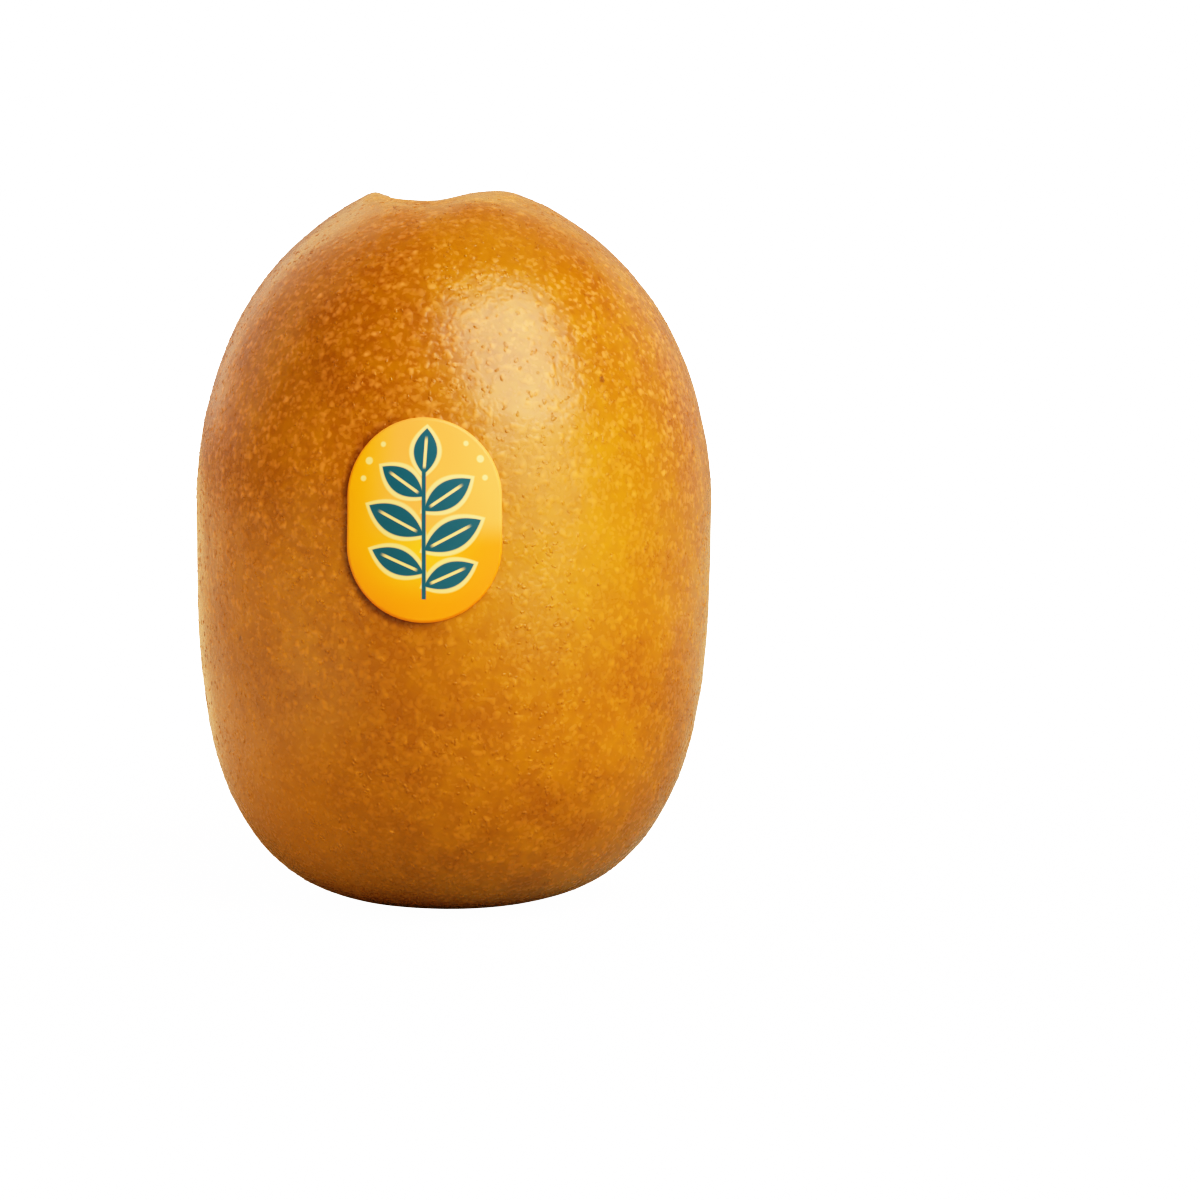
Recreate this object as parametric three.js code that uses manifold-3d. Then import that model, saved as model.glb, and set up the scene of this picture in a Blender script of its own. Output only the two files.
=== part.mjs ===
// A whole golden kiwi fruit, standing on its stem end, with a small oval label stuck to its front.
//
// Millimetres, +Z up. The origin is on the surface that the fruit stands on, under the middle of
// the fruit. The label faces -Y. "turn" is the angle round the fruit, from the front (-Y) towards
// the right (+X).
//
// The fruit is one solid. Its meridian is a superellipse, squarer below the waist than above it,
// swept round by a lathe. Formulas then bow it, flatten it a little from front to back, swell it in
// low lobes, sink a crown with a lumpy rim into the top, and a basin with a corky stalk scar into
// the base. A tuft of dried styles grows from the crown's floor and is fused to it.

import * as THREE from "three";
import { mergeVertices } from "three/addons/utils/BufferGeometryUtils.js";
import Module from "manifold-3d";

const wasm = await Module();
wasm.setup();

// Driving dimensions.
const waistRadius = 25.0; // half the width at the widest ring
const waistHeight = 37.9; // that ring's height
const domeHeight = 31.5; // from the waist to where the top would close if it had no crown
const baseHeight = 38.15; // from the waist to where the base would close if it weren't flat
const domeSquareness = 2.1; // superellipse exponents: 2 is an ellipse, higher is squarer
const baseSquareness = 3.05;
const depthRatio = 0.965; // front to back over side to side

// How far the middle line stands to the right at the belly, and how far each end leans left of that.
const lean = { bellyHeight: 40, belly: 0.2, top: 0.65, base: 0.5 };

// Waves round the fruit: their size as a share of the radius, their number, phase and twist.
const lobeWaves = [
  [0.0045, 2, 0.7, 1.5],
  [0.004, 3, -1.1, 2.2],
  [0.0025, 5, 2.4, 0],
];
const rimWaves = [
  [0.05, 3, 0.9, 0],
  [0.035, 5, -0.6, 0],
];
const scarWaves = [[0.07, 4, 1, 0]];

const crown = {
  x: -1.35, // its centre, left of the fruit's middle
  y: 0.2,
  rimRadius: 5.25,
  wallWidth: 2.2, // from the rim's top to the floor
  depth: 2.7,
  saddle: 0.68, // how far the rim dips at the front and back
  saddleSkew: 0.37, // how much more of that is on the left
  saddleWidth: 3.4,
  crest: 0.25, // a thin raised lip just outside the rim, highest on the left
  crestOut: 1.0,
  crestWidth: 0.65,
  folds: 6, // low ones, which run down the shoulder
  foldHeight: 0.12,
  foldAway: 9.5,
  foldWidth: 2.6,
  fadeHeight: 55, // where the crown's shape begins to fade in, and over what height
  fadeReach: 8,
};

const stemEnd = {
  x: 0.5,
  y: 0.3,
  basinRadius: 4.6,
  basinWall: 2.2,
  basinDepth: 1.5,
  scarRadius: 2.7, // the corky disc that the stalk broke from
  scarWall: 0.9,
  scarHeight: 0.8,
  fadeHeight: 10, // where the basin's shape begins to fade in, downwards
  fadeReach: 6,
};

const styles = {
  count: 24,
  length: 1.2,
  rootRadius: 0.34,
  tipRadius: 0.17,
  sides: 5,
  sunk: 0.6, // how deep a root sits below the crown's floor
  spread: 1.9, // radius of the ring that the outermost ones grow from
  leastLean: 12, // degrees, in the middle
  mostLean: 60, // at the outside
};

const label = {
  width: 14.25,
  height: 18.7, // straight sides between two round ends
  middleHeight: 38.7,
  turn: THREE.MathUtils.degToRad(-4.4),
  gap: 0.15, // clear of the skin, for the glue
  thickness: 0.3,
};

const lathe = { segments: 64, rings: 54, crowding: 0.55 };
const labelLathe = { segments: 56, shares: [0, 0.3, 0.6, 0.85, 1] }; // shares of the label's reach

// 0 below the edge, 1 a width above it, smooth between.
function ramp(value, edge, width) {
  return THREE.MathUtils.smoothstep(value, edge, edge + width);
}

// 1 at an offset of nought, falling away on both sides over a width.
function hump(offset, width) {
  return Math.exp(-((offset / width) ** 2));
}

// A wavy line round the fruit, twisted by a share of its height.
function wavy(waves, turn, share = 0) {
  return waves.reduce(
    (sum, [size, count, phase, twist]) =>
      sum + size * Math.cos(count * turn + phase + twist * share),
    0,
  );
}

// How far the fruit's middle line stands to the right at a height: it leans left towards both ends.
function bow(height) {
  const above =
    Math.max(height - lean.bellyHeight, 0) / (waistHeight + domeHeight - lean.bellyHeight);
  const below = Math.max(lean.bellyHeight - height, 0) / lean.bellyHeight;
  return lean.belly - lean.top * above ** 2 - lean.base * below ** 2;
}

// Low lengthwise lobes, as a share of the radius. They fade out at both ends.
function lobes(turn, height) {
  const share = height / (waistHeight + domeHeight);
  const fade = Math.sin(Math.PI * THREE.MathUtils.clamp(share, 0, 1));
  return fade * wavy(lobeWaves, turn, share);
}

// The meridian, from the centre of the stem end up the side to the centre of the crown.
class Meridian extends THREE.Curve {
  getPoint(t, target = new THREE.Vector2()) {
    const latitude = (t - 0.5) * Math.PI;
    const [height, squareness] =
      latitude > 0 ? [domeHeight, domeSquareness] : [-baseHeight, baseSquareness];
    const power = 2 / squareness;
    return target.set(
      waistRadius * Math.max(Math.cos(latitude), 0) ** power,
      waistHeight + height * Math.abs(Math.sin(latitude)) ** power,
    );
  }
}

// The same meridian as a radius at a height, for what lies on the side.
function radiusAt(height) {
  const [reach, squareness] =
    height > waistHeight ? [domeHeight, domeSquareness] : [baseHeight, baseSquareness];
  const share = Math.abs(height - waistHeight) / reach;
  return waistRadius * Math.max(1 - share ** squareness, 0) ** (1 / squareness);
}

// How far the crown sinks the top at a place. Its floor lies inside a rim that wanders in and out.
// The rim dips at the front and back, more on the left, and carries a thin crest outside it. Low
// folds run down the shoulder from there.
function crownDrop(x, y) {
  const [dx, dy] = [x - crown.x, y - crown.y];
  const away = Math.hypot(dx, dy);
  const turn = Math.atan2(dx, -dy);
  const rim = crown.rimRadius * (1 + wavy(rimWaves, turn));
  const inside = ramp(rim - away, 0, crown.wallWidth);
  const across = THREE.MathUtils.clamp(dx / crown.rimRadius, -1.3, 1.3);
  const saddle =
    crown.saddle *
    (1 - across ** 2) *
    (1 - crown.saddleSkew * across) *
    hump(away - rim, crown.saddleWidth);
  const crest =
    crown.crest *
    (0.5 - 0.5 * Math.sin(turn)) *
    hump(away - rim - crown.crestOut, crown.crestWidth);
  const folds =
    crown.foldHeight *
    Math.cos(crown.folds * turn + 0.5 * Math.sin(2 * turn)) *
    hump(away - crown.foldAway, crown.foldWidth);
  return crown.depth * inside + saddle * (1 - inside) - crest + folds;
}

// How far the basin and its scar lift the base at a place.
function basinLift(x, y) {
  const [dx, dy] = [x - stemEnd.x, y - stemEnd.y];
  const away = Math.hypot(dx, dy);
  const ragged = 1 + wavy(scarWaves, Math.atan2(dx, -dy));
  return (
    stemEnd.basinDepth * ramp(stemEnd.basinRadius - away, 0, stemEnd.basinWall) -
    stemEnd.scarHeight * ramp(stemEnd.scarRadius * ragged - away, 0, stemEnd.scarWall)
  );
}

// A point of the skin from its turn and its place on the meridian.
function skinPoint(turn, radius, height) {
  const swollen = radius * (1 + lobes(turn, height));
  const x = bow(height) + swollen * Math.sin(turn);
  const y = -depthRatio * swollen * Math.cos(turn);
  const z =
    height > waistHeight
      ? height - crownDrop(x, y) * ramp(height, crown.fadeHeight, crown.fadeReach)
      : Math.max(height, 0) +
        basinLift(x, y) * ramp(stemEnd.fadeHeight - height, 0, stemEnd.fadeReach);
  return new THREE.Vector3(x, y, z);
}

// manifold-3d needs a mesh whose shared vertices are merged, with positions alone.
function solidOf(geometry) {
  const bare = new THREE.BufferGeometry()
    .setAttribute("position", geometry.getAttribute("position"))
    .setIndex(geometry.index);
  const merged = mergeVertices(bare, 1e-4);
  return new wasm.Manifold(
    new wasm.Mesh({
      numProp: 3,
      vertProperties: merged.attributes.position.array,
      triVerts: new Uint32Array(merged.index.array),
    }),
  );
}

function geometryOf(solid) {
  const mesh = solid.getMesh();
  const geometry = new THREE.BufferGeometry()
    .setAttribute("position", new THREE.BufferAttribute(mesh.vertProperties, 3))
    .setIndex(new THREE.BufferAttribute(mesh.triVerts, 1));
  geometry.computeVertexNormals();
  return geometry;
}

// The skin: the meridian, with its rings crowded towards both ends, lathed and then shaped.
function skinGeometry() {
  const meridian = new Meridian();
  meridian.arcLengthDivisions = 4000;
  const outline = [];
  for (let ring = 0; ring <= lathe.rings; ring++) {
    const share = ring / lathe.rings;
    const crowded = share - (lathe.crowding * Math.sin(2 * Math.PI * share)) / (2 * Math.PI);
    outline.push(meridian.getPointAt(THREE.MathUtils.clamp(crowded, 0, 1)));
  }
  outline[0].x = 0;
  outline[lathe.rings].x = 0;
  const geometry = new THREE.LatheGeometry(outline, lathe.segments);
  geometry.rotateX(Math.PI / 2);
  const position = geometry.getAttribute("position");
  for (let i = 0; i < position.count; i++) {
    const [x, y, height] = [position.getX(i), position.getY(i), position.getZ(i)];
    const point = skinPoint(Math.atan2(x, -y), Math.hypot(x, y), height);
    position.setXYZ(i, point.x, point.y, point.z);
  }
  return geometry;
}

// One dried style: a tapered stub on the crown's floor. The spiral of sunflower seeds spaces them,
// and the further out one grows, the more it leans outwards.
function styleGeometry(index) {
  const share = (index + 0.5) / styles.count;
  const turn = index * Math.PI * (3 - Math.sqrt(5));
  const away = styles.spread * Math.sqrt(share);
  const tilt = THREE.MathUtils.degToRad(
    THREE.MathUtils.lerp(styles.leastLean, styles.mostLean, share),
  );
  const length = styles.length * (0.86 + 0.14 * Math.cos(2.7 * index)) + styles.sunk;
  const stub = new THREE.CylinderGeometry(
    styles.tipRadius,
    styles.rootRadius,
    length,
    styles.sides,
  );
  stub.translate(0, length / 2 - styles.sunk, 0);
  stub.rotateX(Math.PI / 2);
  stub.rotateX(tilt);
  stub.rotateZ(turn);
  const x = crown.x + away * Math.sin(turn);
  const y = crown.y - away * Math.cos(turn);
  const floorHeight = waistHeight + domeHeight - crownDrop(x, y);
  return stub.translate(x, y, floorHeight);
}

function fruitGeometry() {
  let solid = solidOf(skinGeometry());
  for (let index = 0; index < styles.count; index++)
    solid = solid.add(solidOf(styleGeometry(index)));
  return geometryOf(solid);
}

// A point over the skin from its place on the label, across and up from the label's middle.
function overSkin(across, up, lift) {
  const at = (u, v) => {
    const height = label.middleHeight + v;
    const radius = radiusAt(height);
    return skinPoint(label.turn + u / waistRadius, radius, height);
  };
  const step = 0.5;
  const right = at(across + step, up).sub(at(across - step, up));
  const above = at(across, up + step).sub(at(across, up - step));
  const outward = right.cross(above).normalize();
  return at(across, up).addScaledVector(outward, lift);
}

// How far the label reaches from its middle at an angle: to a straight side or to a round end.
function labelReach(angle) {
  const end = label.width / 2;
  const straight = label.height / 2 - end;
  const [across, up] = [Math.abs(Math.cos(angle)), Math.abs(Math.sin(angle))];
  return up * end < across * straight
    ? end / across
    : up * straight + Math.sqrt(end ** 2 - (across * straight) ** 2);
}

// The label: a thin disc, lathed, then drawn out to its outline and wrapped over the skin.
function labelGeometry() {
  const [inner, outer] = [label.gap, label.gap + label.thickness];
  const { segments, shares } = labelLathe;
  const outline = [
    ...shares.map((share) => new THREE.Vector2(share, inner)),
    ...shares.toReversed().map((share) => new THREE.Vector2(share, outer)),
  ];
  const geometry = new THREE.LatheGeometry(outline, segments);
  const position = geometry.getAttribute("position");
  for (let i = 0; i < position.count; i++) {
    const [x, lift, z] = [position.getX(i), position.getY(i), position.getZ(i)];
    const reach = labelReach(Math.atan2(z, x));
    const point = overSkin(x * reach, -z * reach, lift);
    position.setXYZ(i, point.x, point.y, point.z);
  }
  geometry.computeVertexNormals();
  return geometry;
}

const fruit = new THREE.Mesh(
  fruitGeometry(),
  new THREE.MeshStandardMaterial({ color: 0xc07a1c, roughness: 0.48, metalness: 0 }),
);
fruit.name = "fruit";

const sticker = new THREE.Mesh(
  labelGeometry(),
  new THREE.MeshStandardMaterial({ color: 0xfdb62a, roughness: 0.35, metalness: 0 }),
);
sticker.name = "label";

const kiwi = new THREE.Group();
kiwi.add(fruit, sticker);

export default kiwi;
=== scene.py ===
import math

import bpy
import numpy as np
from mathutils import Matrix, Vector


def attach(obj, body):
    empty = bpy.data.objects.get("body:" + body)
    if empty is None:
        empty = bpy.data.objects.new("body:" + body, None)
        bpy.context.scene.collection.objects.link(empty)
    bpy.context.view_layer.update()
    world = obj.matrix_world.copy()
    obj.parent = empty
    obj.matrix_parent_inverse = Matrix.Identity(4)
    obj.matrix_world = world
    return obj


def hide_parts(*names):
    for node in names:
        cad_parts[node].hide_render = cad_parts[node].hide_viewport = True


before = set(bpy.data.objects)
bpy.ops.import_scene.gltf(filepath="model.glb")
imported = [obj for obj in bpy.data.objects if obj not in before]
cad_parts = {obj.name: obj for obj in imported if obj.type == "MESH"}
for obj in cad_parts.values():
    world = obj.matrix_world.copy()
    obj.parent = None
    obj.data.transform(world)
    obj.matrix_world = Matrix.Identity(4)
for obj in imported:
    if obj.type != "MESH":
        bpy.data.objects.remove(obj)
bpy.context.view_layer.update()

# A golden kiwi fruit that stands on its stem end: its skin, fine scurf, the dried styles in its
# crown, bristles at both ends, and a small label on its front. Shapes are worked out in millimetres
# and go into the meshes in metres. "turn" is the angle round the fruit from the front to the right.
mm = 0.001
print("frame loaded:", len(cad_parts), "nodes")

# The body that every piece follows. Waves are cosines round the fruit: size, count, phase and twist.
fruitShape = dict(
    waistRadius=25.0, waistHeight=37.9,  # the widest ring
    domeHeight=31.5, baseHeight=38.15,  # from there to where each end would close
    domeSquareness=2.1, baseSquareness=3.05,  # 2 is an ellipse, higher is squarer
    depthRatio=0.965,  # front to back over side to side
    bellyHeight=40.0, bellyLean=0.2, topLean=0.65, baseLean=0.5,  # right at the belly, left at the ends
    lobes=((0.0045, 2, 0.7, 1.5), (0.004, 3, -1.1, 2.2), (0.0025, 5, 2.4, 0.0)),
)
closedHeight = fruitShape["waistHeight"] + fruitShape["domeHeight"]
crownShape = dict(
    x=-1.35, y=0.2, rimRadius=5.25, wallWidth=2.2, depth=2.7,
    rimWaves=((0.05, 3, 0.9, 0.0), (0.035, 5, -0.6, 0.0)),
    saddle=0.68, saddleSkew=0.37, saddleWidth=3.4,  # the rim dips at the front and back
    crest=0.25, crestOut=1.0, crestWidth=0.65,  # a thin lip outside the rim
    folds=6, foldHeight=0.12, foldAway=9.5, foldWidth=2.6,  # on the shoulder
    fadeHeight=55.0, fadeReach=8.0,
)
stemShape = dict(
    x=0.5, y=0.3, basinRadius=4.6, basinWall=2.2, basinDepth=1.5,
    scarRadius=2.7, scarWall=0.9, scarHeight=0.8, scarWaves=((0.07, 4, 1.0, 0.0),),
    fadeHeight=10.0, fadeReach=6.0,
)


def ramp(value, edge, width):  # 0 below the edge, 1 a width above it, smooth between
    share = np.clip((value - edge) / width, 0, 1)
    return share * share * (3 - 2 * share)


def hump(offset, width):  # a bell: 1 in the middle, falling away over a width
    return np.exp(-((offset / width) ** 2))


def wavy(waves, turn, share=0.0):  # the sum of waves round the fruit, twisted by a share of its height
    return sum(size * np.cos(count * turn + phase + twist * share) for size, count, phase, twist in waves)


def unit(vectors):  # each vector over its own length
    return vectors / np.maximum(np.linalg.norm(vectors, axis=-1, keepdims=True), 1e-12)


def flatOut(turn):  # the level direction away from the middle at a turn
    return np.stack([np.sin(turn), -np.cos(turn), 0 * turn], axis=-1)


# Smooth noise from -1 to 1: random values on a cubic lattice, blended between the eight corners.
def latticeNoise(points, size, seed):
    table = np.random.default_rng(seed).uniform(-1, 1, (32, 32, 32))
    cell = np.floor(points / size).astype(int)
    part = points / size - cell
    part = part * part * (3 - 2 * part)
    total = 0
    for corner in np.ndindex(2, 2, 2):
        weight = np.prod(np.where(corner, part, 1 - part), axis=-1)
        total = total + weight * table[tuple(np.moveaxis((cell + corner) % 32, -1, 0))]
    return total


# The meridian: a superellipse of latitude, squarer below the waist than above it.
def meridian(latitude):
    s = fruitShape
    up = latitude > 0
    power = np.where(up, 2 / s["domeSquareness"], 2 / s["baseSquareness"])
    reach = np.where(up, s["domeHeight"], -s["baseHeight"])
    radius = s["waistRadius"] * np.maximum(np.cos(latitude), 0) ** power
    return radius, s["waistHeight"] + reach * np.abs(np.sin(latitude)) ** power


# The meridian's latitude at a height: the arc sine of the height's share, to half the squareness.
def latitudeAt(height):
    s = fruitShape
    up = height > s["waistHeight"]
    power = np.where(up, s["domeSquareness"], s["baseSquareness"])
    share = np.abs(height - s["waistHeight"]) / np.where(up, s["domeHeight"], s["baseHeight"])
    return np.where(up, 1, -1) * np.arcsin(np.clip(share ** (power / 2), 0, 1))


# The middle line leans left towards both ends, by the square of the height from the belly.
def bow(height):
    s = fruitShape
    above = np.maximum(height - s["bellyHeight"], 0) / (closedHeight - s["bellyHeight"])
    below = np.maximum(s["bellyHeight"] - height, 0) / s["bellyHeight"]
    return s["bellyLean"] - s["topLean"] * above**2 - s["baseLean"] * below**2


# Low lengthwise lobes: waves that fade out at both ends by a half sine of the height.
def lobes(turn, height):
    share = height / closedHeight
    return np.sin(np.pi * np.clip(share, 0, 1)) * wavy(fruitShape["lobes"], turn, share)


# How far the crown sinks the top: a floor inside a wandering rim, a saddle across it and folds
# round it, less a crest.
def crownDrop(x, y):
    s = crownShape
    dx, dy = x - s["x"], y - s["y"]
    away, turn = np.hypot(dx, dy), np.arctan2(dx, -dy)
    rim = s["rimRadius"] * (1 + wavy(s["rimWaves"], turn))
    inside = ramp(rim - away, 0, s["wallWidth"])
    across = np.clip(dx / s["rimRadius"], -1.3, 1.3)
    saddle = s["saddle"] * (1 - across**2) * (1 - s["saddleSkew"] * across)
    saddle = saddle * hump(away - rim, s["saddleWidth"])
    crest = s["crest"] * (0.5 - 0.5 * np.sin(turn)) * hump(away - rim - s["crestOut"], s["crestWidth"])
    folds = s["foldHeight"] * np.cos(s["folds"] * turn + 0.5 * np.sin(2 * turn))
    folds = folds * hump(away - s["foldAway"], s["foldWidth"])
    return s["depth"] * inside + saddle * (1 - inside) - crest + folds


# How far the base is lifted: a basin, less the disc of the stalk's scar in its middle.
def basinLift(x, y):
    s = stemShape
    dx, dy = x - s["x"], y - s["y"]
    away = np.hypot(dx, dy)
    ragged = 1 + wavy(s["scarWaves"], np.arctan2(dx, -dy))
    basin = s["basinDepth"] * ramp(s["basinRadius"] - away, 0, s["basinWall"])
    return basin - s["scarHeight"] * ramp(s["scarRadius"] * ragged - away, 0, s["scarWall"])


# A point of the smooth body: the meridian swept round, swollen, bowed, and sunk at both ends.
def bodyPoint(turn, latitude):
    radius, height = meridian(latitude)
    swollen = radius * (1 + lobes(turn, height))
    x = bow(height) + swollen * np.sin(turn)
    y = -fruitShape["depthRatio"] * swollen * np.cos(turn)
    top = height - crownDrop(x, y) * ramp(height, crownShape["fadeHeight"], crownShape["fadeReach"])
    base = basinLift(x, y) * ramp(stemShape["fadeHeight"] - height, 0, stemShape["fadeReach"])
    z = np.where(height > fruitShape["waistHeight"], top, np.maximum(height, 0) + base)
    return np.stack(np.broadcast_arrays(x, y, z), axis=-1)


# The outward direction: across the turn times up the meridian, taken just short of the poles.
def bodyNormal(turn, latitude, step=2e-3):
    latitude = np.clip(latitude, -math.pi / 2 + 0.02, math.pi / 2 - 0.02)
    east = bodyPoint(turn + step, latitude) - bodyPoint(turn - step, latitude)
    north = bodyPoint(turn, latitude + step) - bodyPoint(turn, latitude - step)
    return unit(np.cross(east, north))


# Six times the volume under faces that fan out from their first corners: the sum of a . b x c.
def sixVolumes(points, faces):
    a = points[faces[:, 0]]
    return sum(
        np.einsum("ij,ij->i", a, np.cross(points[faces[:, i]], points[faces[:, i + 1]])).sum()
        for i in range(1, faces.shape[1] - 1)
    )


# Closed skins from grids of points, one skin for each first index. Columns run round and wrap; the
# first and last rows are the poles, each one point. Faces turn outwards, by the sign of the volume.
def closedSkins(name, grids, maps=None):
    count, rows, columns = grids.shape[:3]
    ring = (rows - 2) * columns

    def oneByOne(values):  # a grid's pole, its rows and its other pole, in the order of the points
        middle = values[:, 1:-1].reshape(count, ring, values.shape[-1])
        return np.concatenate([values[:, :1, 0], middle, values[:, -1:, 0]], axis=1)

    points = oneByOne(grids)
    here = 1 + np.arange(ring).reshape(rows - 2, columns)
    beside = np.roll(here, -1, axis=1)
    quads = np.stack([here[:-1], beside[:-1], beside[1:], here[1:]], axis=-1).reshape(-1, 4)
    first = np.stack([np.zeros(columns, int), beside[0], here[0]], axis=-1)
    last = np.stack([np.full(columns, ring + 1), here[-1], beside[-1]], axis=-1)
    caps = np.concatenate([first, last])
    if sixVolumes(points[0], caps) + sixVolumes(points[0], quads) < 0:
        quads, caps = quads[:, ::-1], caps[:, ::-1]
    shift = np.arange(count)[:, None, None] * (ring + 2)
    faces = (quads + shift).reshape(-1, 4).tolist() + (caps + shift).reshape(-1, 3).tolist()
    mesh = bpy.data.meshes.new(name)
    mesh.from_pydata((points.reshape(-1, 3) * mm).tolist(), [], faces)
    mesh.shade_smooth()
    corners = np.empty(len(mesh.loops), int)
    mesh.loops.foreach_get("vertex_index", corners)
    for mapName, places in (maps or {}).items():
        layer = mesh.uv_layers.new(name=mapName)
        layer.uv.foreach_set("vector", oneByOne(places).reshape(-1, 2)[corners].ravel())
    piece = bpy.data.objects.new(name, mesh)
    bpy.context.collection.objects.link(piece)
    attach(piece, "root")
    return piece


# A socket of a node tree. The operators and methods add nodes after it and give the new socket.
class Wire:
    def __init__(self, tree, socket=None):
        self.tree = tree
        self.socket = socket

    def make(self, kind, settings=None, sockets=None, out=0):
        # a node of a kind, with its settings set first and then the values or links of its sockets
        node = self.tree.nodes.new("ShaderNode" + kind)
        for name, value in (settings or {}).items():
            setattr(node, name, value)
        for name, value in (sockets or {}).items():
            if isinstance(value, Wire):
                self.tree.links.new(value.socket, node.inputs[name])
            else:
                node.inputs[name].default_value = value
        return Wire(self.tree, node.outputs[out] if len(node.outputs) else None)

    def math(self, operation, *others):
        return self.make("Math", dict(operation=operation), dict(enumerate((self, *others))))

    def __add__(self, other):
        return self.math("ADD", other)

    def __radd__(self, other):
        return self.math("ADD", other)

    def __sub__(self, other):
        return self.math("SUBTRACT", other)

    def __rsub__(self, other):
        return self.make("Math", dict(operation="SUBTRACT"), {0: other, 1: self})

    def __mul__(self, other):
        return self.math("MULTIPLY", other)

    def __rmul__(self, other):
        return self.math("MULTIPLY", other)

    def __truediv__(self, other):
        return self.math("DIVIDE", other)

    def unsigned(self):  # without its sign
        return self.math("ABSOLUTE")

    def atLeast(self, other):  # the larger of the two
        return self.math("MAXIMUM", other)

    def ramp(self, low, high):  # 0 at low, 1 at high, smooth between
        ends = {0: self, 1: low, 2: high, 3: 0.0, 4: 1.0}
        return self.make("MapRange", dict(interpolation_type="SMOOTHSTEP"), ends)

    def mix(self, plain, marked):  # one colour where this is 0, another where it is 1
        return self.make("Mix", dict(data_type="RGBA"), {0: self, 6: plain, 7: marked}, out=2)

    def parts(self):  # a vector's x, y and z
        return [self.make("SeparateXYZ", None, {0: self}, out=i) for i in range(3)]

    def noise(self, size, detail=2.0, roughness=0.5, distortion=0.0):  # lumps of a size in millimetres
        looks = dict(Scale=1 / (size * mm), Detail=detail, Roughness=roughness, Distortion=distortion)
        return self.make("TexNoise", None, dict(Vector=self, **looks))

    def cells(self, size):  # distance from the nearest of points strewn about a size apart, in sizes
        return self.make("TexVoronoi", None, dict(Vector=self, Scale=1 / (size * mm)))

    def distance(self, point):  # millimetres from a point given in millimetres
        point = tuple(float(value) * mm for value in point)
        return self.make("VectorMath", dict(operation="DISTANCE"), {0: self, 1: point}, out=1) / mm

    def bump(self, height, strength, reach):  # reach is the height of a full bump in millimetres
        return self.make("Bump", None, dict(Height=height, Strength=strength, Distance=reach * mm))


def span(x, y):  # the length of a flat step: the root of the sum of the squares
    return (x * x + y * y).math("SQRT")


def colour(*screen):  # red, green and blue as on a screen, 0 to 255, made linear by the sRGB curve
    shares = np.array(screen) / 255
    linear = np.where(shares <= 0.04045, shares / 12.92, ((shares + 0.055) / 1.055) ** 2.4)
    return (*linear.tolist(), 1.0)


# A new material, its shader with some fixed values, and its Object coordinates.
def newMaterial(name, fixed):
    material = bpy.data.materials.new(name)
    material.use_nodes = True
    shader = material.node_tree.nodes["Principled BSDF"]
    for socket, value in fixed.items():
        shader.inputs[socket].default_value = value
    return material, shader, Wire(material.node_tree).make("TexCoord", out=3)


def feed(shader, wires):  # a link to each named socket of a shader
    for socket, wire in wires.items():
        shader.id_data.links.new(wire.socket, shader.inputs[socket])


labelLooks = dict(
    width=14.25, height=18.7, middleHeight=38.7, turn=math.radians(-4.4),
    gap=0.05, thickness=0.1, rings=26, spokes=144,
    # the shade beside the lifted left edge is painted into the skin's colour, as well as thrown by the lift
    liftedEdge=0.2, paintedShadeReach=1.15, paintedShadeAmount=0.64,  # its left edge, and the shade that it throws
    # the ground's pale peach top is partly print and partly painted sheen
    low=colour(255, 145, 0), middle=colour(255, 161, 0), glow=colour(255, 180, 38),
    right=colour(255, 127, 0), top=colour(255, 168, 84), tip=colour(255, 162, 78),  # its ground
    pale=colour(246, 226, 160), ink=colour(30, 92, 114), roughness=0.36,
    stem=(-7.2, 4.6), stemWidth=0.2,  # a sprig: its stem from and to a height
    leaves=(  # base, direction in degrees, length and half-width
        (0.0, -6.0, 24, 5.0, 1.15), (0.0, -4.8, 156, 5.2, 1.15), (0.0, -2.7, 28, 5.9, 1.3),
        (0.0, -1.3, 152, 5.7, 1.3), (0.0, 0.9, 34, 5.2, 1.2), (0.0, 2.2, 145, 4.7, 1.15),
        (0.0, 4.2, 86, 4.2, 1.1),
    ),
    dots=(  # place and radius
        (5.2, 5.6, 0.34), (5.6, 3.9, 0.26), (-5.1, 5.4, 0.34),
        (-5.6, 3.8, 0.26), (3.9, 7.0, 0.24), (-3.8, 6.9, 0.24),
    ),
)


# How far the label reaches at an angle: to a straight side, or to a half circle on top of it.
def labelReach(angle):
    end = labelLooks["width"] / 2
    straight = labelLooks["height"] / 2 - end
    across, up = np.abs(np.cos(angle)), np.abs(np.sin(angle))
    tip = up * straight + np.sqrt(np.maximum(end**2 - (across * straight) ** 2, 0))
    return np.where(up * end < across * straight, end / np.maximum(across, 1e-9), tip)


def underLabel(turn, points, margin):  # true where the skin lies behind the label
    across = (turn - labelLooks["turn"]) * fruitShape["waistRadius"]
    up = points[:, 2] - labelLooks["middleHeight"]
    return np.hypot(across, up) < labelReach(np.arctan2(up, across)) + margin


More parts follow.
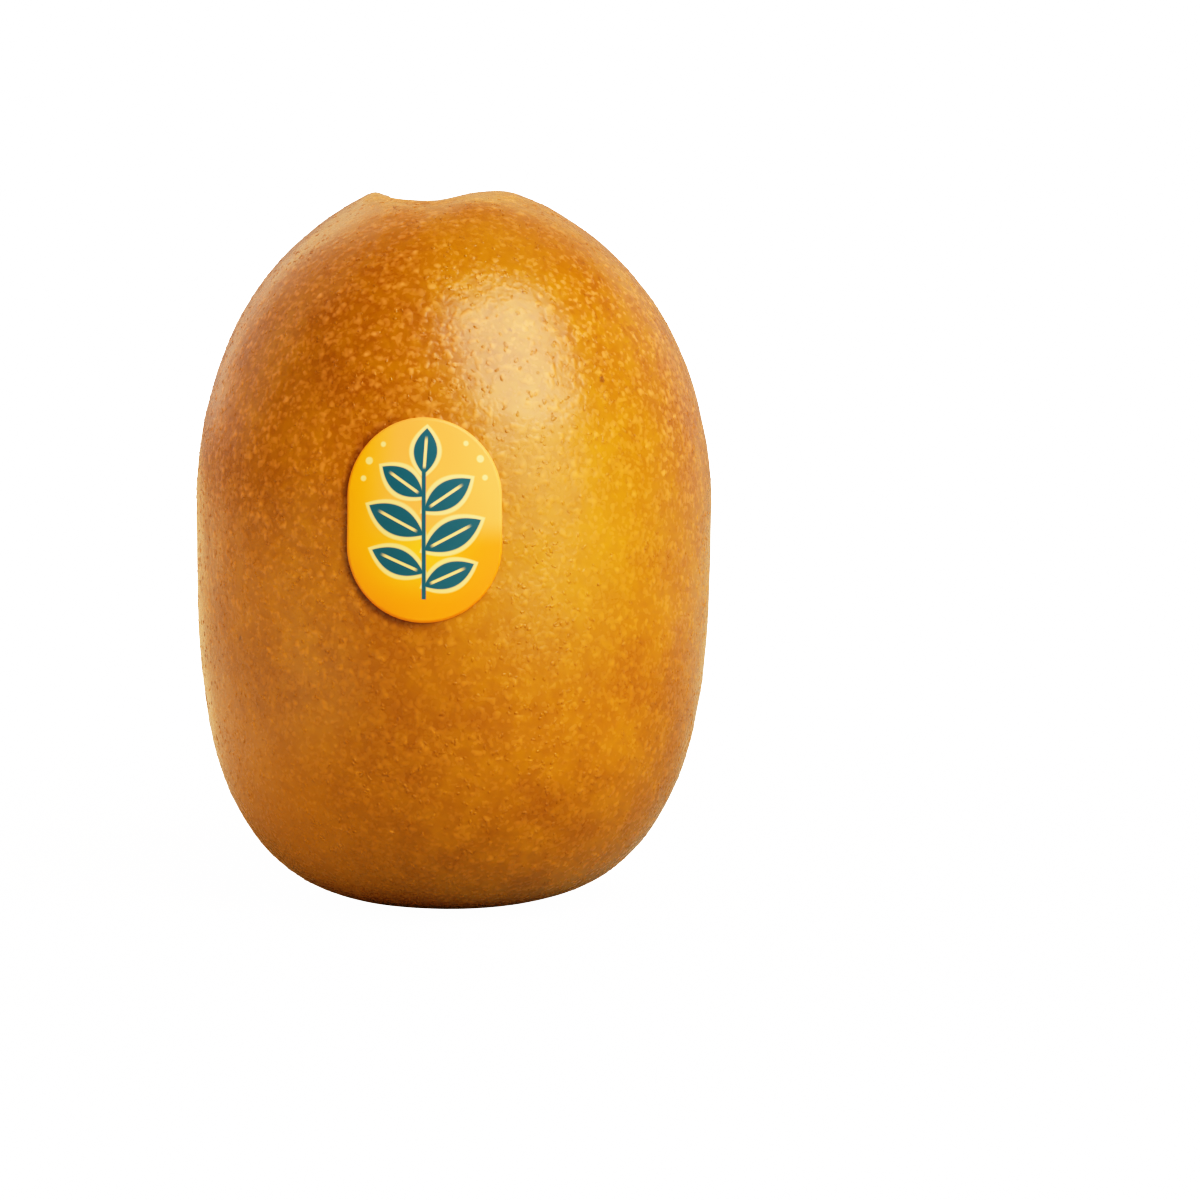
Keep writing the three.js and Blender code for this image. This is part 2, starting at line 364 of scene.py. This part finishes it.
# The label: rings from the middle of its face to its edge and back behind, wrapped over the skin.
# It lifts towards its left edge by a half cosine of the angle, unevenly.
def makeLabel():
    s = labelLooks
    crowded = np.linspace(0, 1, s["rings"]) ** 0.8
    share = np.concatenate([crowded, crowded[::-1]])
    angle = np.linspace(0, 2 * math.pi, s["spokes"], endpoint=False)
    reach = labelReach(angle)[None, :] * share[:, None]
    across, up = reach * np.cos(angle), reach * np.sin(angle)
    front = (np.arange(len(share)) < s["rings"])[:, None]
    edge = ramp(share[:, None], 0.55, 0.45) * np.ones_like(across)
    left = 0.5 - 0.5 * np.cos(angle - 0.35)
    wave = 0.6 + 0.25 * np.cos(3 * angle + 0.8) + 0.15 * np.cos(7 * angle)
    lift = s["gap"] + s["liftedEdge"] * edge * left**1.5 * wave + np.where(front, s["thickness"], 0)
    turn = s["turn"] + across / fruitShape["waistRadius"]
    latitude = latitudeAt(s["middleHeight"] + up)
    body, outward = bodyPoint(turn, latitude), bodyNormal(turn, latitude)
    soft = latticeNoise(body + 200, 6.5, 0) * 0.075 + 0.045  # it bridges the fine lumps
    points = body + outward * (lift + soft)[..., None]
    places = np.stack([across / s["width"] + 0.5, up / s["height"] + 0.5], axis=-1)
    return closedSkins("labelFilm", points[None], dict(print=places[None]))


# One leaf of the print and its pale outline, 1 inside and 0 outside: the width swells by a parabola
# along the leaf, and a thin vein is left out of it.
def leafMark(x, y, leaf):
    baseX, baseY, degrees, length, width = leaf
    c, s = math.cos(math.radians(degrees)), math.sin(math.radians(degrees))
    along = (x * (c / length) + y * (s / length)) - (baseX * c + baseY * s) / length
    across = ((y * c - x * s) + (baseX * s - baseY * c)).unsigned()
    swell = along * (1 - along) * (4 * width) - across
    vein = (across - 0.12).ramp(0.06, -0.04) * along.ramp(0.1, 0.2) * along.ramp(0.85, 0.7)
    return swell.ramp(-0.08, 0.08) * (1 - vein), swell.ramp(-0.5, -0.3)


# Gold from low to high, with a glow in the middle, more orange to the right, and paler on top: part print,
# part painted sheen.
def labelGoldAndSheen(x, y):
    s = labelLooks
    gold = y.ramp(-8.0, 0.0).mix(s["low"], s["middle"])
    gold = ((x + 0.3).unsigned().ramp(6.6, 0.0) * y.ramp(-8.0, -3.0)).mix(gold, s["glow"])
    gold = (x.ramp(0.0, 7.5) * 0.5).mix(gold, s["right"])
    top = y.ramp(3.0, 9.0).mix(s["top"], s["tip"])
    return (y.ramp(-2.6, 0.4) * x.ramp(-6.4, -1.6)).mix(gold, top)


# The print: the sprig in ink, its pale outline and dots, and the gold ground, whose pale top is partly
# painted sheen.
def labelMaterial():
    s = labelLooks
    material, shader, place = newMaterial("labelFilm", {"Specular IOR Level": 0.4})
    spot = place.make("UVMap", dict(uv_map="print")).parts()
    x, y = (spot[0] - 0.5) * s["width"], (spot[1] - 0.5) * s["height"]
    foot, tip = s["stem"]
    mark = (x.unsigned() - s["stemWidth"]).ramp(0.07, -0.07)
    mark = mark * y.ramp(foot - 0.05, foot + 0.05) * y.ramp(tip + 0.05, tip - 0.05)
    pale = mark * 0
    for leaf in s["leaves"]:
        inside, outline = leafMark(x, y, leaf)
        mark, pale = mark.atLeast(inside), pale.atLeast(outline)
    for dotX, dotY, radius in s["dots"]:
        pale = pale.atLeast(span(x - dotX, y - dotY).ramp(radius + 0.08, radius - 0.08))
    drawn = mark.mix((pale * 0.7).mix(labelGoldAndSheen(x, y), s["pale"]), s["ink"])
    feed(shader, {
        "Base Color": drawn,
        "Roughness": s["roughness"] + 0.06 * place.noise(1.5),
        "Normal": place.bump(place.noise(2.4), 0.15, 0.03),
    })
    return material


skinLooks = dict(
    turns=400, rings=248, crowding=0.4,
    relief=((6.5, 0.075), (2.6, 0.04), (1.2, 0.016)),  # size and height of the lumps
    corkRing=0.10, corkCrack=0.14,  # height of the scar's rings and cracks
    patchSize=9.0, freckleSize=2.6, mottleSize=1.5, pitSize=0.8, grainSize=0.3,
    blobSize=0.98, dotSize=0.7, waveSize=0.66, raggedSize=0.45,  # the pale flecks
    bumpHeight=0.038, gloss=0.5, roughness=0.27,
    deep=colour(161, 93, 0), warm=colour(184, 115, 0),
    fleck=colour(242, 154, 85), lowFleck=colour(239, 153, 57),
    pit=colour(142, 72, 4), shade=colour(86, 38, 6), paintedShadeColour=colour(108, 44, 0),
    cork=colour(124, 88, 52), crown=colour(112, 66, 24),
    tintsAndPaintedLight=(  # turn in degrees, height, outer and inner radius, strength, colour
        # partly the skin's own tone; in order: painted light right of the label, painted shade at the upper
        # left, painted light at the lower left, and a painted yellow fringe beside the highlight
        (24.0, 40.0, 21.0, 5.0, 0.36, colour(212, 148, 30)),
        (-37.0, 56.0, 15.0, 3.0, 0.26, colour(116, 62, 0)),
        (-55.0, 6.0, 22.0, 4.0, 0.46, colour(220, 138, 24)),
        (14.0, 61.5, 10.0, 3.0, 0.24, colour(198, 138, 8)),
    ),
    spots=(  # turn in degrees, height, radius
        (39.4, 51.4, 0.26), (17.0, 56.0, 0.14), (-52.0, 27.0, 0.18),
        (118.0, 40.0, 0.26), (171.0, 55.0, 0.22), (-137.0, 30.0, 0.25),
    ),
)


# Low lumps over the skin, in three sizes of noise, and the corky scar's rings and cracks: a cosine
# of the distance from its middle, shaken by noise, and finer noise.
def skinRelief(points):
    s = skinLooks
    total = 0
    for seed, (size, height) in enumerate(s["relief"]):
        total = total + height * latticeNoise(points + 200, size, seed)
    away = np.hypot(points[..., 0] - stemShape["x"], points[..., 1] - stemShape["y"])
    scar = ramp(3.0 - away, 0, 0.6) * ramp(12 - points[..., 2], 0, 4)
    cork = s["corkRing"] * np.cos(7 * away + 2 * latticeNoise(points, 0.9, 11))
    cork = cork + s["corkCrack"] * latticeNoise(points, 0.5, 12)
    return total * (1 - 0.8 * ramp(3 - points[..., 2], 0, 3)) + scar * cork


# Latitudes of rings that lie evenly along the meridian, less a sine that crowds them at both ends.
def ringLatitudes(rings, crowding):
    fine = np.linspace(-math.pi / 2, math.pi / 2, 20001)
    radius, height = meridian(fine)
    run = np.concatenate([[0], np.cumsum(np.hypot(np.diff(radius), np.diff(height)))])
    share = np.linspace(0, 1, rings + 1)
    share = share - crowding * np.sin(2 * math.pi * share) / (2 * math.pi)
    return np.interp(share * run[-1], run, fine)


def onSkin(turn, latitude):  # a point of the finished skin, body plus relief, and its outward direction
    point, outward = bodyPoint(turn, latitude), bodyNormal(turn, latitude)
    point = point + outward * skinRelief(point)[..., None]
    point[..., 2] = np.maximum(point[..., 2], 0)
    return point, outward


def makeSkin():  # the finished skin on a grid of turns and latitudes, its end rows drawn to a point
    latitude = ringLatitudes(skinLooks["rings"], skinLooks["crowding"])[:, None]
    turn = np.linspace(-math.pi, math.pi, skinLooks["turns"], endpoint=False)[None, :]
    points, _ = onSkin(turn, latitude)
    points[0], points[-1] = points[0].mean(axis=0), points[-1].mean(axis=0)
    return closedSkins("kiwiSkin", points[None])


def skinPlace(degrees, height):  # the point of the smooth body at a turn and a height
    return bodyPoint(np.array(math.radians(degrees)), latitudeAt(np.array(height)))


# The painted shade beside the label's lifted edge, left and a little below: full at its outline, and
# fading by the distance from it.
def paintedEdgeShade(x, y, z):
    s = labelLooks
    end = s["width"] / 2
    across = (x.math("ARCTAN2", 0 - y) - s["turn"]) * fruitShape["waistRadius"]
    up = z - s["middleHeight"]
    beyond = (up.unsigned() - (s["height"] / 2 - end)).atLeast(0.0)
    away = span(across, beyond) - end
    side = (0 - across * 0.9 - up * 0.15).ramp(-1.0, 4.5)
    return away.ramp(s["paintedShadeReach"], 0.3) * side * (0 - y).ramp(0.0, 1.0)


# Pale flecks: soft blobs and smaller dots round strewn points, both made ragged by noise, and
# worm-like waves of noise, joined by taking the largest.
def skinFlecks(place):
    s = skinLooks
    ragged = 0.78 * place.noise(s["raggedSize"], 0.0)
    blobs = (place.cells(s["blobSize"]) + ragged).ramp(0.94, 0.2)
    dots = (place.cells(s["dotSize"]) + ragged).ramp(0.88, 0.25)
    waves = place.noise(s["waveSize"], 1.0, 0.4, 0.1).ramp(0.5, 0.92)
    return blobs.atLeast(0.65 * dots).atLeast(0.75 * waves)


# The skin: colours laid over one another, each where its own mask of noise, height or distance is 1.
def skinMaterial():
    s = skinLooks
    material, shader, place = newMaterial("kiwiSkin", {"Specular IOR Level": s["gloss"]})
    patches = place.noise(s["patchSize"], 3.0, 0.55).ramp(0.35, 0.68)
    freckles = place.noise(s["freckleSize"], 2.0, 0.6).ramp(0.38, 0.66)
    mottles = place.noise(s["mottleSize"], 1.0, 0.5, 0.3).ramp(0.40, 0.66)
    grains = place.noise(s["grainSize"], 1.0).ramp(0.35, 0.7)
    pits = place.noise(s["pitSize"], 1.0, 0.5, 0.3).ramp(0.58, 0.30)
    flecks = skinFlecks(place)
    x, y, z = (part / mm for part in place.parts())
    high = z.ramp(20.0, 55.0)

    # the base, its pits and flecks, and a darker band on the shoulder
    skin = (0.55 * patches + 0.45 * freckles).mix(s["deep"], s["warm"])
    skin = (pits * (0.16 + 0.2 * high)).mix(skin, s["pit"])
    fleckShare = flecks * (0.6 + 0.4 * mottles) * (0.5 + 0.5 * high)
    skin = fleckShare.mix(skin, high.mix(s["lowFleck"], s["fleck"]))
    shoulder = z.ramp(58.0, 65.0) * z.ramp(68.4, 67.4)
    skin = (shoulder * (0.3 + 0.25 * patches)).mix(skin, s["pit"])

    # broad tints, partly the skin's own tone and partly painted light and shade, and small dark spots, each
    # round its own place
    for degrees, height, reach, core, strength, tint in s["tintsAndPaintedLight"]:
        away = place.distance(skinPlace(degrees, height))
        skin = (away.ramp(reach, core) * strength).mix(skin, tint)
    for degrees, height, radius in s["spots"]:
        away = place.distance(skinPlace(degrees, height)) + 0.25 * grains
        skin = (away.ramp(radius + 0.25, radius) * 0.6).mix(skin, s["shade"])

    # the corky scar in its basin, the browner crown, and the painted shade beside the label
    fromStem = span(x - stemShape["x"], y - stemShape["y"])
    fromCrown = span(x - crownShape["x"], y - crownShape["y"])
    base, top = z.ramp(6.0, 4.0), z.ramp(58.0, 62.0)
    scar = (fromStem + 0.5 * grains).ramp(3.2, 2.6) * base
    skin = (fromStem.ramp(5.4, 3.2) * base * 0.5).mix(skin, s["crown"])
    skin = (scar * (0.7 + 0.3 * freckles)).mix(skin, s["cork"])
    skin = (fromCrown.ramp(5.6, 3.0) * top * (0.3 + 0.25 * freckles)).mix(skin, s["crown"])
    skin = ((fromCrown + 0.8 * grains).ramp(3.4, 2.4) * top * 0.6).mix(skin, s["crown"])
    # painted shade beside the label's left edge
    skin = (paintedEdgeShade(x, y, z) * labelLooks["paintedShadeAmount"]).mix(skin, s["paintedShadeColour"])

    height = flecks + 0.05 * grains - 0.25 * pits
    feed(shader, {
        "Base Color": skin,
        "Roughness": s["roughness"] + 0.10 * flecks - 0.03 * patches + 0.4 * scar,
        "Normal": place.bump(height, 0.8, s["bumpHeight"]),
    })
    return material


scurfLooks = dict(
    count=5200, length=(0.16, 0.38), width=(0.12, 0.2), height=0.026,
    bend=0.8, ragged=0.22,  # how far an oval curves, and how uneven its outline is
    crownClear=7.2, labelClear=0.25,
)


# Latitudes drawn so that the points are even over the area: the radius times the meridian's run.
def evenLatitudes(draw, count):
    fine = np.linspace(-math.pi / 2 + 0.01, math.pi / 2 - 0.01, 4000)
    radius, height = meridian(fine)
    area = radius * np.hypot(np.gradient(radius), np.gradient(height))
    return np.interp(draw.uniform(0, 1, count), np.cumsum(area) / area.sum(), fine)


# Crumbs of scurf: low domes on ovals bent by the square of their length, strewn evenly over the
# skin and thinned by noise, clear of the crown, the label and the ground.
def makeScurf():
    s = scurfLooks
    draw = np.random.default_rng(21)
    tries = 3 * s["count"]
    latitude = evenLatitudes(draw, tries)
    turn = draw.uniform(-math.pi, math.pi, tries)
    middle, outward = onSkin(turn, latitude)
    crowd = 0.62 + 0.75 * latticeNoise(middle + 90, 3.0, 31) + 0.2 * latticeNoise(middle, 9.0, 32)
    crown = np.hypot(middle[:, 0] - crownShape["x"], middle[:, 1] - crownShape["y"])
    clear = ((crown > s["crownClear"]) | (middle[:, 2] < 50)) & (middle[:, 2] > 1.2)
    clear &= ~underLabel(turn, middle, s["labelClear"])
    keep = np.flatnonzero(clear & (draw.uniform(0, 1, tries) < crowd))[: s["count"]]
    middle, outward, count = middle[keep], outward[keep], len(keep)

    east = unit(np.cross([0, 0, 1], outward))
    north = np.cross(outward, east)
    facing = draw.uniform(0, math.pi, count)[:, None]
    along = np.cos(facing) * east + np.sin(facing) * north
    across = np.cross(outward, along)
    length = draw.uniform(*s["length"], count)[:, None, None]
    width = draw.uniform(*s["width"], count)[:, None, None]
    bend = draw.normal(0, s["bend"], count)[:, None, None]
    angle = np.linspace(0, 2 * math.pi, 6, endpoint=False)[None, None, :]
    size = np.array([0, 0.62, 1.0, 0])[None, :, None]  # four rows: the top, a ring, the rim, beneath
    rise = np.array([1.15, 0.8, -0.5, -0.5])[None, :, None] * s["height"]
    ragged = 1 + s["ragged"] * draw.uniform(-1, 1, (count, 1, 6))
    u = length * size * np.cos(angle) * ragged
    v = width * size * np.sin(angle) * ragged + bend * (u**2 - 0.3 * length**2)
    lift = (rise * (0.6 + 0.8 * draw.uniform(0, 1, (count, 1, 1))))[..., None]
    crumbs = middle[:, None, None] + u[..., None] * along[:, None, None]
    crumbs = crumbs + v[..., None] * across[:, None, None] + lift * outward[:, None, None]

    side = math.ceil(math.sqrt(count))  # each crumb has a square of the bake map
    square = np.stack([np.arange(count) % side, np.arange(count) // side], axis=-1)[:, None, None]
    dome = np.stack(np.broadcast_arrays(size * np.cos(angle), size * np.sin(angle)), axis=-1)
    places = np.broadcast_to((square + 0.5 + 0.42 * dome) / side, (count, 4, 6, 2))
    return closedSkins("scurf", crumbs, dict(OFBake=places))


styleLooks = dict(
    count=40, spread=2.1, length=(1.5, 2.3), root=0.15, tip=0.075, swell=0.05,
    leastLean=8.0, mostLean=58.0,  # degrees, in the middle and at the outside
    sunk=0.25, swing=0.45,  # how deep a root sits, and how far a heading strays
    rows=9, sides=6, ceiling=67.95, dark=colour(62, 38, 18), pale=colour(128, 86, 44),
)
bristleLooks = dict(
    crown=dict(count=260, near=2.6, far=4.3, height=69.0, share=0.8, pole=1),
    stem=dict(count=380, near=2.6, far=3.9, height=0.5, share=0.6, pole=-1),
    length=(0.4, 1.0), root=0.03, tip=0.012, sunk=0.06, swing=0.35, rows=5, sides=3,
    dark=colour(128, 78, 26), pale=colour(196, 138, 66),
)


# Tapered tubes carried along curves. A curve's heading turns evenly from a start to an end, and its
# points are the running sum of equal steps along it.
def curvedTubes(name, roots, starts, ends, lengths, looks, swell=0.0):
    count, rows = len(roots), looks["rows"]
    share = np.linspace(0, 1, rows)[None, :, None]
    heading = unit(starts[:, None] * (1 - share) + ends[:, None] * share)
    steps = heading * (lengths[:, None, None] / (rows - 1))
    walked = np.concatenate([np.zeros((count, 1, 3)), np.cumsum(steps[:, :-1], axis=1)], axis=1)
    path = roots[:, None] + walked
    sideways = unit(np.cross(heading, np.array([0.31, 0.73, 0.61])))
    upways = np.cross(heading, sideways)
    angle = np.linspace(0, 2 * math.pi, looks["sides"], endpoint=False)
    width = looks["root"] * (1 - share) + looks["tip"] * share + swell * hump(share - 0.93, 0.09)
    ring = np.cos(angle)[:, None] * sideways[:, :, None] + np.sin(angle)[:, None] * upways[:, :, None]
    grids = path[:, :, None] + ring * width[..., None]
    grids[:, 0], grids[:, -1] = path[:, :1], path[:, -1:]
    return closedSkins(name, grids)


# The tuft: styles in a sunflower's spiral on the crown's floor, curling outwards and over, each cut
# short where it would pass the ceiling.
def makeStyles():
    s, draw = styleLooks, np.random.default_rng(5)
    index = np.arange(s["count"])
    share = (index + 0.5) / s["count"]
    turn = index * math.pi * (3 - math.sqrt(5))
    away = s["spread"] * np.sqrt(share)
    x, y = crownShape["x"] + away * np.sin(turn), crownShape["y"] - away * np.cos(turn)
    roots = np.stack([x, y, closedHeight - crownDrop(x, y) - s["sunk"]], axis=-1)
    out, up = flatOut(turn), np.array([0, 0, 1.0])
    lean = np.radians(s["leastLean"] + (s["mostLean"] - s["leastLean"]) * share)[:, None]
    starts = unit(np.cos(lean) * up + np.sin(lean) * out)
    swing = draw.normal(0, s["swing"], (s["count"], 3))
    ends = unit(0.35 * up + (0.4 + 0.9 * share[:, None]) * out + swing * [1, 1, 0.4])
    lengths = draw.uniform(*s["length"], s["count"])
    rise = (starts[:, 2] + ends[:, 2]) / 2
    lengths = np.minimum(lengths, (s["ceiling"] - roots[:, 2]) / np.maximum(rise, 0.05))
    return curvedTubes("driedStyles", roots, starts, ends, lengths, s, s["swell"])


# Roots, headings and lengths of the bristles of one end: drawn in a ring round its middle, found on
# the skin by the flat distance from the middle line, and lying over towards the middle.
def endBristles(shape, looks, turn, away, draw):
    x, y = shape["x"] + away * np.sin(turn), shape["y"] - away * np.cos(turn)
    dx, dy = x - bow(np.array(looks["height"])), y / fruitShape["depthRatio"]
    fine = np.linspace(0, looks["pole"] * math.pi / 2, 4000)
    radius, _ = meridian(fine)
    point, outward = onSkin(np.arctan2(dx, -dy), np.interp(-np.hypot(dx, dy), -radius, fine))
    inward = -flatOut(turn)
    swing = draw.normal(0, bristleLooks["swing"], (len(turn), 3))
    starts = unit(outward + 0.4 * inward + swing)
    ends = unit(0.3 * outward + 1.1 * inward + swing)
    lengths = draw.uniform(*bristleLooks["length"], len(turn)) * looks["share"]
    return point - bristleLooks["sunk"] * outward, starts, ends, lengths


# Short bristles inside the crown's rim and in the stem's basin.
def makeBristles():
    draw = np.random.default_rng(9)
    rings = []
    for shape, looks in ((crownShape, bristleLooks["crown"]), (stemShape, bristleLooks["stem"])):
        turn = draw.uniform(-math.pi, math.pi, looks["count"])
        rings.append((shape, looks, turn, draw.uniform(looks["near"], looks["far"], looks["count"])))
    both = [endBristles(*ring, draw) for ring in rings]
    return curvedTubes("bristles", *map(np.concatenate, zip(*both)), bristleLooks)


def dryMaterial(name, looks, size):  # dark to pale by noise of a size
    material, shader, place = newMaterial(name, {"Specular IOR Level": 0.3})
    tone = place.noise(size, 3.0, 0.6)
    tint = tone.ramp(0.35, 0.7).mix(looks["dark"], looks["pale"])
    feed(shader, {"Base Color": tint, "Roughness": 0.6 + 0.2 * tone})
    return material


def dress(piece, material):  # one material and one slot for a piece
    piece.data.materials.append(material)
    print(piece.name + ":", len(piece.data.polygons), "faces")


skin = makeSkin()
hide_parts("fruit")
dress(skin, skinMaterial())
dress(makeScurf(), skin.data.materials[0])
film = makeLabel()
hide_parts("label")
dress(film, labelMaterial())
dress(makeStyles(), dryMaterial("driedStyles", styleLooks, 0.5))
dress(makeBristles(), dryMaterial("bristles", bristleLooks, 0.8))


# Light boxes stand towards a direction from the middle of the fruit. Their distances and sizes are
# in metres, and the other lengths in millimetres.
studio = dict(
    target=(14.35, 0.0, 29.32), distance=390.0, elevation=5.0, lens=120.0, sensor=36.0,
    middle=(0.0, 0.0, 35.0), floorSize=8000.0,
    boxes=dict(
        key=dict(towards=(0.42, -0.56, 0.71), distance=0.6, size=0.48, watts=5.0, tint=(1, 1, 0.9)),
        right=dict(towards=(0.60, -0.78, 0.15), size=0.6, watts=3.1, tint=(1, 1, 0.85)),
        rightWide=dict(towards=(0.90, -0.30, 0.20), size=1.3, watts=1.3, tint=(1, 1, 0.7)),
        rightBack=dict(towards=(0.80, 0.60, 0.20), size=0.7, watts=0.5, tint=(1, 1, 1)),
        left=dict(towards=(-0.96, -0.14, 0.18), size=0.9, watts=1.25, tint=(1, 0.74, 0.2)),
        leftBack=dict(towards=(-0.74, 0.58, 0.62), size=0.9, watts=2.6, tint=(1, 0.76, 0.55)),
        topBack=dict(towards=(0.0, 0.60, 0.80), size=1.0, watts=2.15, tint=(1, 0.76, 0.3)),
        front=dict(towards=(0.0, -0.95, 0.10), distance=0.9, size=1.3, watts=0.55, tint=(1, 0.97, 0.45)),
        bounce=dict(towards=(0.72, -0.68, 0.0), distance=0.065, size=0.05, watts=0.006, tint=(1, 0.8, 0.15)),
        lowLeft=dict(
            towards=(-0.75, -0.60, -0.15), distance=0.09, size=0.06, watts=0.006, tint=(1, 0.95, 0.5),
        ),
        backFill=dict(towards=(-0.12, 0.98, 0.10), size=0.6, watts=1.0, tint=(1, 1, 0.9), glossy=False),
    ),
    toneTop=4.0,  # the scene brightness that is shown as white
    tones=(  # a film's toe and shoulder: from scene brightness to shown brightness
        (0.03, 0.01), (0.08, 0.05), (0.2, 0.17), (0.5, 0.51), (0.8, 0.745),
        (1.25, 0.93), (1.7, 0.98), (2.3, 0.994), (3.2, 0.999),
    ),
)


# A square light that faces the middle of the fruit and isn't itself seen.
def softBox(name, towards, size, watts, tint, distance=0.8, glossy=True):
    light = bpy.data.lights.new(name, "AREA")
    light.size = size
    light.energy = watts
    light.color = tint
    box = bpy.data.objects.new(name, light)
    direction = Vector(towards).normalized()
    box.location = Vector(studio["middle"]) * mm + direction * distance
    box.rotation_euler = direction.to_track_quat("Z", "Y").to_euler()
    box.visible_camera = False
    box.visible_glossy = glossy
    bpy.context.collection.objects.link(box)


def makeCamera():  # it looks from the front, a little from above
    lens = bpy.data.cameras.new("camera")
    lens.lens = studio["lens"]
    lens.sensor_width = studio["sensor"]
    lens.clip_start = 0.01
    lens.clip_end = 20
    camera = bpy.data.objects.new("camera", lens)
    angle = math.radians(studio["elevation"])
    back = Vector((0, -math.cos(angle), math.sin(angle)))
    camera.location = (Vector(studio["target"]) + back * studio["distance"]) * mm
    camera.rotation_euler = back.to_track_quat("Z", "Y").to_euler()
    bpy.context.collection.objects.link(camera)
    bpy.context.scene.camera = camera


# What is seen of the floor is white, with a faint shade near the fruit. What lights the fruit from
# below is warm, stronger behind and to the left.
def floorMaterial():
    material, shader, place = newMaterial("floor", {"Roughness": 0.9, "Emission Strength": 1.0})
    seen = place.make("LightPath")
    side, behind, _ = place.parts()
    away = place.make("VectorMath", dict(operation="LENGTH"), {0: place}, out=1)
    glow = behind.ramp(0.0, 0.12).mix((0, 0, 0, 1), (0.5, 0.42, 0.3, 1))
    glow = (side.ramp(-0.02, -0.08) * behind.ramp(-0.2, -0.05)).mix(glow, (1.1, 0.78, 0.42, 1))
    white = away.ramp(0.05, 0.3).mix((1.8, 1.8, 1.8, 1), (4, 4, 4, 1))
    feed(shader, {
        "Emission Color": seen.mix(glow, white),
        "Base Color": seen.mix((0.36, 0.36, 0.3, 1), (0.85, 0.85, 0.85, 1)),
    })
    return material


def makeFloor():  # a level square
    mesh = bpy.data.meshes.new("floor")
    half = studio["floorSize"] / 2 * mm
    corners = [(-half, -half, 0), (half, -half, 0), (half, half, 0), (-half, half, 0)]
    mesh.from_pydata(corners, [], [(0, 1, 2, 3)])
    mesh.materials.append(floorMaterial())
    floor = bpy.data.objects.new("floor", mesh)
    bpy.context.collection.objects.link(floor)


def makeWorld():  # white where it is seen; as light it is warm, and comes from behind
    world = bpy.data.worlds.new("studio")
    world.use_nodes = True
    world.node_tree.nodes.clear()
    around = Wire(world.node_tree).make("TexCoord", out=0)
    seen = around.make("LightPath")
    light = 0.65 * around.parts()[1].ramp(0.2, 1.0)
    strength = light + seen * (4.0 - light)
    tint = seen.mix((1, 0.84, 0.68, 1), (1, 1, 1, 1))
    glow = around.make("Background", None, dict(Color=tint, Strength=strength))
    around.make("OutputWorld", None, dict(Surface=glow))
    bpy.context.scene.world = world


def setTones():  # the standard view, through a curve from nothing to the top
    view = bpy.context.scene.view_settings
    view.view_transform = "Standard"
    view.look = "None"
    view.use_curve_mapping = True
    view.curve_mapping.clip_max_x = studio["toneTop"]
    points = view.curve_mapping.curves[3].points
    points[0].location = (0, 0)
    points[1].location = (studio["toneTop"], 1)
    for bright, shown in studio["tones"]:
        points.new(bright, shown)
    view.curve_mapping.update()


makeCamera()
for name, box in studio["boxes"].items():
    softBox(name, **box)
makeFloor()
makeWorld()
setTones()
print("studio ready")
